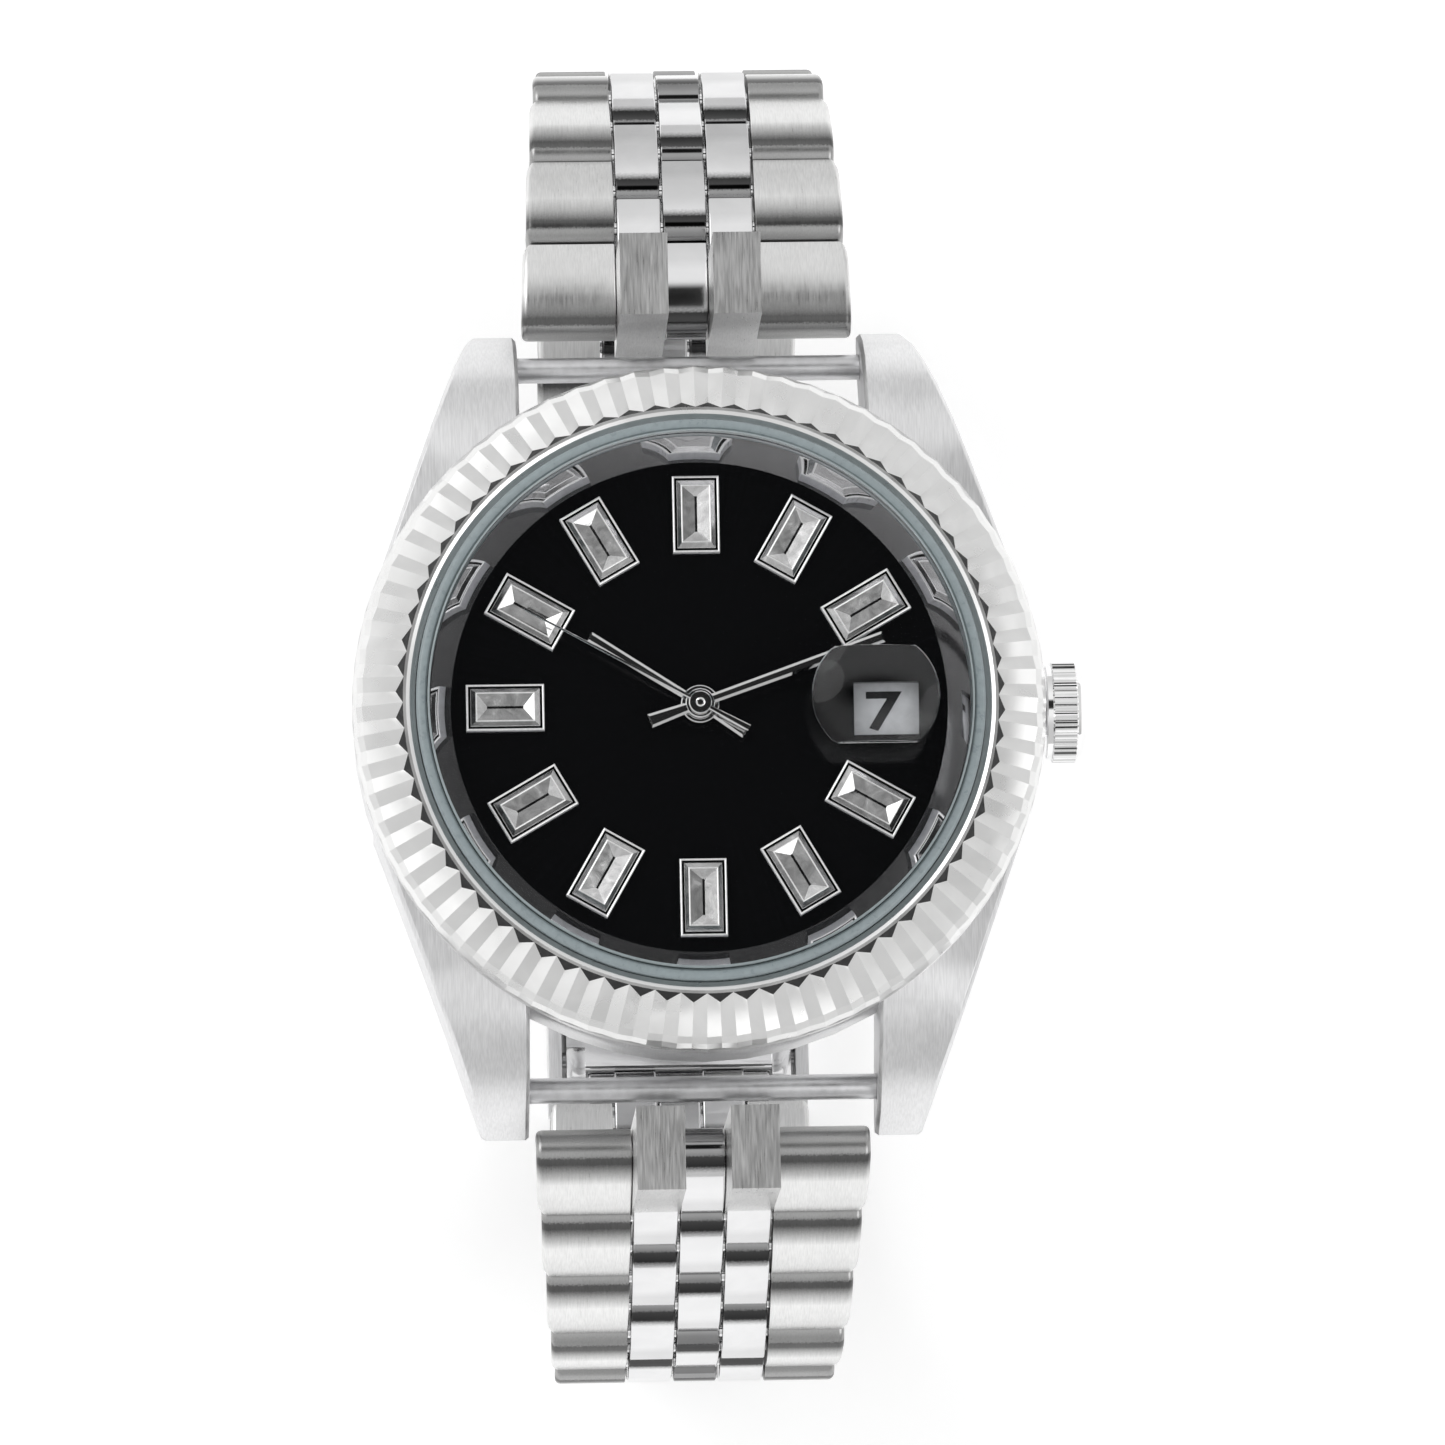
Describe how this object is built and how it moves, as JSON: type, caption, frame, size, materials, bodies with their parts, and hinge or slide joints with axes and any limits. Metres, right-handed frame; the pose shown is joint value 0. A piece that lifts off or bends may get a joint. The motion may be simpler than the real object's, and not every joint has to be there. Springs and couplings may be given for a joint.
{
  "type": "wristwatch",
  "caption": "Round automatic wristwatch with fluted bezel, black dial, date magnifier, screwed crown and a jointed five-column metal bracelet closed by a folding clasp.",
  "frame": {"origin": "flat outer face of the clasp cover, directly below the centre of the dial", "axes": "+Z out of the dial, +Y towards 12 o'clock, +X towards the crown at 3 o'clock; the watch stands on its clasp with the bracelet closed"},
  "size_m": [0.0426, 0.0791, 0.0493],
  "materials": {
    "polished": "polished steel",
    "brushed": "brushed steel",
    "satin": "satin steel",
    "black": "black gloss lacquer on metal",
    "disc": "light grey print disc",
    "seal": "pale grey plastic seal",
    "rubber": "black rubber",
    "brass": "bare brass",
    "glass": "clear sapphire glass"
  },
  "bodies": {
    "head": {"mid_case": "brushed", "bezel": "polished", "crystal": "glass", "crystal_gasket": "seal", "date_magnifier": "glass", "rehaut_ring": "black", "dial": "black", "crown_tube": "satin", "caseback": "brushed", "caseback_gasket": "rubber", "movement_holder": "satin", "mainplate": "brass", "train_bridge": "satin", "balance_cock": "satin", "rotor_bearing": "polished", "end_link_12": "brushed", "end_link_6": "brushed", "spring_bar_12": "satin", "spring_bar_6": "satin"},
    "hour": {"hour_hand": "polished"},
    "minute": {"minute_hand": "polished", "centre_wheel": "brass"},
    "seconds": {"seconds_hand": "polished", "fourth_wheel": "brass"},
    "third": {"third_wheel": "brass"},
    "barrel": {"barrel": "brass"},
    "escape": {"escape_wheel": "brass"},
    "pallet": {"pallet_fork": "polished"},
    "balance": {"balance_wheel": "brass"},
    "rotor": {"rotor": "satin"},
    "date": {"date_disc": "disc"},
    "setting": {"setting_lever": "satin"},
    "crown": {"crown": "polished", "winding_stem": "satin"},
    "row_12_01": {"row_12_01": "brushed"},
    "row_12_02": {"row_12_02": "brushed"},
    "row_12_03": {"row_12_03": "brushed"},
    "row_12_04": {"row_12_04": "brushed"},
    "row_12_05": {"row_12_05": "brushed"},
    "row_12_06": {"row_12_06": "brushed"},
    "row_12_07": {"row_12_07": "brushed"},
    "row_12_08": {"row_12_08": "brushed"},
    "row_12_09": {"row_12_09": "brushed"},
    "row_12_10": {"row_12_10": "brushed"},
    "row_12_11": {"row_12_11": "brushed", "clasp_spring_bar": "satin"},
    "row_6_01": {"row_6_01": "brushed"},
    "row_6_02": {"row_6_02": "brushed"},
    "row_6_03": {"row_6_03": "brushed"},
    "row_6_04": {"row_6_04": "brushed"},
    "row_6_05": {"row_6_05": "brushed"},
    "row_6_06": {"row_6_06": "brushed"},
    "row_6_07": {"row_6_07": "brushed"},
    "row_6_08": {"row_6_08": "brushed"},
    "row_6_09": {"row_6_09": "brushed"},
    "inner_blade": {"clasp_inner_blade": "polished", "clasp_fold_pin": "polished"},
    "outer_blade": {"clasp_outer_blade": "polished", "clasp_cover_pin": "polished"},
    "clasp": {"clasp_cover": "brushed"}
  },
  "joints": [
    {"name": "minute_turn", "type": "hinge", "parent": "head", "child": "minute", "pos_m": [0, 0, 0.0452], "axis": [0, 0, -1], "continuous": true},
    {"name": "hour_turn", "type": "hinge", "parent": "head", "child": "hour", "pos_m": [0, 0, 0.0452], "axis": [0, 0, -1], "continuous": true},
    {"name": "seconds_turn", "type": "hinge", "parent": "head", "child": "seconds", "pos_m": [0, 0, 0.0452], "axis": [0, 0, -1], "continuous": true},
    {"name": "third_turn", "type": "hinge", "parent": "head", "child": "third", "pos_m": [0.00181, -0.00314, 0.0414], "axis": [0, 0, -1], "continuous": true},
    {"name": "barrel_turn", "type": "hinge", "parent": "head", "child": "barrel", "pos_m": [-0.00489, 0.00282, 0.0416], "axis": [0, 0, -1], "continuous": true},
    {"name": "escape_turn", "type": "hinge", "parent": "head", "child": "escape", "pos_m": [0.00178, 0.00307, 0.0412], "axis": [0, 0, -1], "continuous": true},
    {"name": "pallet_rock", "type": "hinge", "parent": "head", "child": "pallet", "pos_m": [0.0042, 0.0046, 0.0412], "axis": [0, 0, -1], "range_deg": [-5, 5]},
    {"name": "balance_swing", "type": "hinge", "parent": "head", "child": "balance", "pos_m": [0.007, 0.0059, 0.0412], "axis": [0, 0, -1], "range_deg": [-270, 270]},
    {"name": "rotor_turn", "type": "hinge", "parent": "head", "child": "rotor", "pos_m": [0, 0, 0.039], "axis": [0, 0, -1], "continuous": true},
    {"name": "date_turn", "type": "hinge", "parent": "head", "child": "date", "pos_m": [0, 0, 0.0444], "axis": [0, 0, -1], "continuous": true},
    {"name": "crown_pull", "type": "slide", "parent": "head", "child": "setting", "axis": [1, 0, 0], "range_m": [0, 0.0012]},
    {"name": "crown_turn", "type": "hinge", "parent": "setting", "child": "crown", "pos_m": [0.02012, 0, 0.0416], "axis": [1, 0, 0], "continuous": true},
    {"name": "hinge_12_01", "type": "hinge", "parent": "head", "child": "row_12_01", "pos_m": [0, 0.0247, 0.0372], "axis": [1, 0, 0], "range_deg": [0, 0.9]},
    {"name": "hinge_12_02", "type": "hinge", "parent": "row_12_01", "child": "row_12_02", "pos_m": [0, 0.0301, 0.03712], "axis": [1, 0, 0], "range_deg": [0, 22.2]},
    {"name": "hinge_12_03", "type": "hinge", "parent": "row_12_02", "child": "row_12_03", "pos_m": [0, 0.03507, 0.035], "axis": [1, 0, 0], "range_deg": [0, 16.8]},
    {"name": "bracelet_12_flex", "type": "hinge", "parent": "row_12_03", "child": "row_12_04", "pos_m": [0, 0.03921, 0.03153], "axis": [1, 0, 0], "range_deg": [0, 30.4]},
    {"name": "hinge_12_05", "type": "hinge", "parent": "row_12_04", "child": "row_12_05", "pos_m": [0, 0.04103, 0.02645], "axis": [1, 0, 0], "range_deg": [0, 20.7]},
    {"name": "hinge_12_06", "type": "hinge", "parent": "row_12_05", "child": "row_12_06", "pos_m": [0, 0.04094, 0.02105], "axis": [1, 0, 0], "range_deg": [0, 18.3]},
    {"name": "hinge_12_07", "type": "hinge", "parent": "row_12_06", "child": "row_12_07", "pos_m": [0, 0.03915, 0.01595], "axis": [1, 0, 0], "range_deg": [0, 15.2]},
    {"name": "hinge_12_08", "type": "hinge", "parent": "row_12_07", "child": "row_12_08", "pos_m": [0, 0.03609, 0.0115], "axis": [1, 0, 0], "range_deg": [0, 12.8]},
    {"name": "hinge_12_09", "type": "hinge", "parent": "row_12_08", "child": "row_12_09", "pos_m": [0, 0.03212, 0.00784], "axis": [1, 0, 0], "range_deg": [0, 11.7]},
    {"name": "hinge_12_10", "type": "hinge", "parent": "row_12_09", "child": "row_12_10", "pos_m": [0, 0.02749, 0.00506], "axis": [1, 0, 0], "range_deg": [0, 11.8]},
    {"name": "hinge_12_11", "type": "hinge", "parent": "row_12_10", "child": "row_12_11", "pos_m": [0, 0.02239, 0.00328], "axis": [1, 0, 0], "range_deg": [0, 12.3]},
    {"name": "bracelet_6_flex", "type": "hinge", "parent": "head", "child": "row_6_01", "pos_m": [0, -0.0247, 0.0372], "axis": [-1, 0, 0], "range_deg": [0, 54.2]},
    {"name": "hinge_6_02", "type": "hinge", "parent": "row_6_01", "child": "row_6_02", "pos_m": [0, -0.02786, 0.03282], "axis": [-1, 0, 0], "range_deg": [0, 1.8]},
    {"name": "hinge_6_03", "type": "hinge", "parent": "row_6_02", "child": "row_6_03", "pos_m": [0, -0.03088, 0.02834], "axis": [-1, 0, 0], "range_deg": [0, 3.8]},
    {"name": "hinge_6_04", "type": "hinge", "parent": "row_6_03", "child": "row_6_04", "pos_m": [0, -0.03359, 0.02368], "axis": [-1, 0, 0], "range_deg": [0, 18.2]},
    {"name": "hinge_6_05", "type": "hinge", "parent": "row_6_04", "child": "row_6_05", "pos_m": [0, -0.03472, 0.01839], "axis": [-1, 0, 0], "range_deg": [0, 21.3]},
    {"name": "hinge_6_06", "type": "hinge", "parent": "row_6_05", "child": "row_6_06", "pos_m": [0, -0.03384, 0.01307], "axis": [-1, 0, 0], "range_deg": [0, 21.1]},
    {"name": "hinge_6_07", "type": "hinge", "parent": "row_6_06", "child": "row_6_07", "pos_m": [0, -0.03111, 0.00841], "axis": [-1, 0, 0], "range_deg": [0, 20.7]},
    {"name": "hinge_6_08", "type": "hinge", "parent": "row_6_07", "child": "row_6_08", "pos_m": [0, -0.02691, 0.00502], "axis": [-1, 0, 0], "range_deg": [0, 20.3]},
    {"name": "hinge_6_09", "type": "hinge", "parent": "row_6_08", "child": "row_6_09", "pos_m": [0, -0.02179, 0.00329], "axis": [-1, 0, 0], "range_deg": [0, 17.4]},
    {"name": "hinge_6_10", "type": "hinge", "parent": "row_6_09", "child": "inner_blade", "pos_m": [0, -0.01639, 0.00318], "axis": [-1, 0, 0], "range_deg": [0, 1.2]},
    {"name": "clasp_open", "type": "hinge", "parent": "inner_blade", "child": "outer_blade", "pos_m": [0, 0.0136, 0.0026], "axis": [1, 0, 0], "range_deg": [0, 125]},
    {"name": "clasp_cover_lift", "type": "hinge", "parent": "outer_blade", "child": "clasp", "pos_m": [0, -0.0142, 0.0019], "axis": [1, 0, 0], "range_deg": [-125, 0]}
  ],
  "couplings": [
    {"joint": "hour_turn", "follows": "minute_turn", "ratio": 0.083333},
    {"joint": "seconds_turn", "follows": "minute_turn", "ratio": 60},
    {"joint": "third_turn", "follows": "minute_turn", "ratio": -8},
    {"joint": "barrel_turn", "follows": "minute_turn", "ratio": -0.125},
    {"joint": "escape_turn", "follows": "minute_turn", "ratio": -600},
    {"joint": "hinge_12_01", "follows": "bracelet_12_flex", "ratio": 0.029605},
    {"joint": "hinge_12_02", "follows": "bracelet_12_flex", "ratio": 0.73026},
    {"joint": "hinge_12_03", "follows": "bracelet_12_flex", "ratio": 0.55263},
    {"joint": "hinge_12_05", "follows": "bracelet_12_flex", "ratio": 0.68092},
    {"joint": "hinge_12_06", "follows": "bracelet_12_flex", "ratio": 0.60197},
    {"joint": "hinge_12_07", "follows": "bracelet_12_flex", "ratio": 0.5},
    {"joint": "hinge_12_08", "follows": "bracelet_12_flex", "ratio": 0.42105},
    {"joint": "hinge_12_09", "follows": "bracelet_12_flex", "ratio": 0.38487},
    {"joint": "hinge_12_10", "follows": "bracelet_12_flex", "ratio": 0.38816},
    {"joint": "hinge_12_11", "follows": "bracelet_12_flex", "ratio": 0.40461},
    {"joint": "hinge_6_02", "follows": "bracelet_6_flex", "ratio": 0.03321},
    {"joint": "hinge_6_03", "follows": "bracelet_6_flex", "ratio": 0.070111},
    {"joint": "hinge_6_04", "follows": "bracelet_6_flex", "ratio": 0.33579},
    {"joint": "hinge_6_05", "follows": "bracelet_6_flex", "ratio": 0.39299},
    {"joint": "hinge_6_06", "follows": "bracelet_6_flex", "ratio": 0.3893},
    {"joint": "hinge_6_07", "follows": "bracelet_6_flex", "ratio": 0.38192},
    {"joint": "hinge_6_08", "follows": "bracelet_6_flex", "ratio": 0.37454},
    {"joint": "hinge_6_09", "follows": "bracelet_6_flex", "ratio": 0.32103},
    {"joint": "hinge_6_10", "follows": "bracelet_6_flex", "ratio": 0.02214},
    {"joint": "clasp_cover_lift", "follows": "clasp_open", "ratio": -1}
  ]
}
